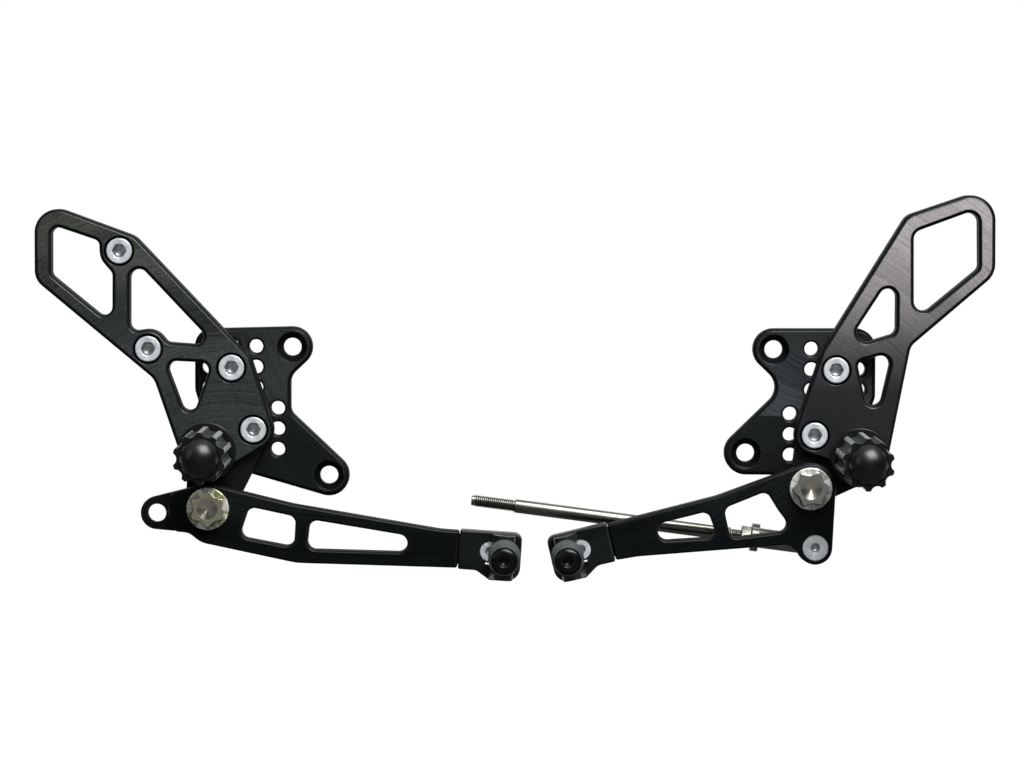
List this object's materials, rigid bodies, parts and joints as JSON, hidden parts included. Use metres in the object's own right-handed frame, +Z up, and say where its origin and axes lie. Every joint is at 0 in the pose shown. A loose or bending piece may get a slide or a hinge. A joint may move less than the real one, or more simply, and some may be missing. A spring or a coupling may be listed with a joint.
{
  "type": "motorcycle rear sets",
  "caption": "Pair of motorcycle rear sets: mounting plates, hanger plates with heel guards, turned foot pegs, brake and shift levers with folding toe pieces, and a shift rod.",
  "frame": {"origin": "axis of the brake side's upper frame bolt, on the mounting plate's back face", "axes": "+X runs along the pair, from the brake side to the shift side; +Z up; +Y towards the bike's frame, so the pegs point along -Y"},
  "size_m": [0.4791, 0.0963, 0.1924],
  "materials": {
    "black_anodised": "satin black anodised, machined",
    "bright_zinc": "bright zinc plate",
    "polished_steel": "polished",
    "stainless": "drawn stainless",
    "rubber": "matte",
    "black_steel": "gloss black",
    "bronze": "plain bearing bronze"
  },
  "bodies": {
    "frame_side": {"brake_cylinder_screws": "bright_zinc", "brake_foot_peg": "black_anodised", "brake_hanger_plate": "black_anodised", "brake_mounting_plate": "black_anodised", "brake_peg_bolt": "black_steel", "brake_pivot_bolt": "polished_steel", "brake_pivot_washer": "bright_zinc", "brake_plate_screws": "bright_zinc", "shift_foot_peg": "black_anodised", "shift_hanger_plate": "black_anodised", "shift_mounting_plate": "black_anodised", "shift_peg_bolt": "black_steel", "shift_pivot_bolt": "polished_steel", "shift_pivot_washer": "bright_zinc", "shift_plate_screws": "bright_zinc"},
    "brake_lever": {"brake_lever": "black_anodised", "brake_lever_bush": "bronze", "brake_toe_block": "black_anodised", "brake_toe_block_screw": "bright_zinc", "brake_toe_hinge_pin": "bright_zinc", "brake_toe_spring": "bright_zinc"},
    "brake_toe": {"brake_toe_carrier": "black_steel", "brake_toe_rubber": "rubber", "brake_toe_end_screw": "black_steel"},
    "shift_lever": {"shift_lever": "black_anodised", "shift_lever_bush": "bronze", "shift_toe_block": "black_anodised", "shift_toe_block_screw": "bright_zinc", "shift_toe_hinge_pin": "bright_zinc", "shift_toe_spring": "bright_zinc", "shift_rod_screw": "bright_zinc", "shift_rod_spacer": "bright_zinc", "shift_rod_screw_nut": "bright_zinc"},
    "shift_toe": {"shift_toe_carrier": "black_steel", "shift_toe_rubber": "rubber", "shift_toe_end_screw": "black_steel"},
    "rod_ball": {"shift_rod_ball": "stainless"},
    "shift_rod": {"shift_rod": "stainless", "shift_rod_end": "stainless", "shift_rod_jam_nut": "stainless"}
  },
  "joints": [
    {"name": "brake_pivot", "type": "hinge", "parent": "frame_side", "child": "brake_lever", "pos_m": [-0.0413, -0.0243, -0.0798], "axis": [0, 1, 0], "range_deg": [-5, 15]},
    {"name": "brake_toe_fold", "type": "hinge", "parent": "brake_lever", "child": "brake_toe", "pos_m": [0.10635, -0.0353, -0.10176], "axis": [-0.068, 0, -0.9977], "range_deg": [0, 75], "stiffness_Nm_per_rad": 0.3},
    {"name": "shift_pivot", "type": "hinge", "parent": "frame_side", "child": "shift_lever", "pos_m": [0.2589, -0.0243, -0.0698], "axis": [0, 1, 0], "range_deg": [-12, 12]},
    {"name": "shift_toe_fold", "type": "hinge", "parent": "shift_lever", "child": "shift_toe", "pos_m": [0.13752, -0.0353, -0.10189], "axis": [-0.23, 0, 0.9732], "range_deg": [0, 75], "stiffness_Nm_per_rad": 0.3},
    {"name": "rod_swing", "type": "hinge", "parent": "shift_lever", "child": "rod_ball", "pos_m": [0.2613, -0.0105, -0.0994], "axis": [0, 1, 0], "range_deg": [-20, 20]},
    {"name": "rod_tilt", "type": "hinge", "parent": "rod_ball", "child": "shift_rod", "pos_m": [0.2613, -0.0105, -0.0994], "axis": [-0.1305, 0, -0.9914], "range_deg": [-1.5, 8]}
  ]
}
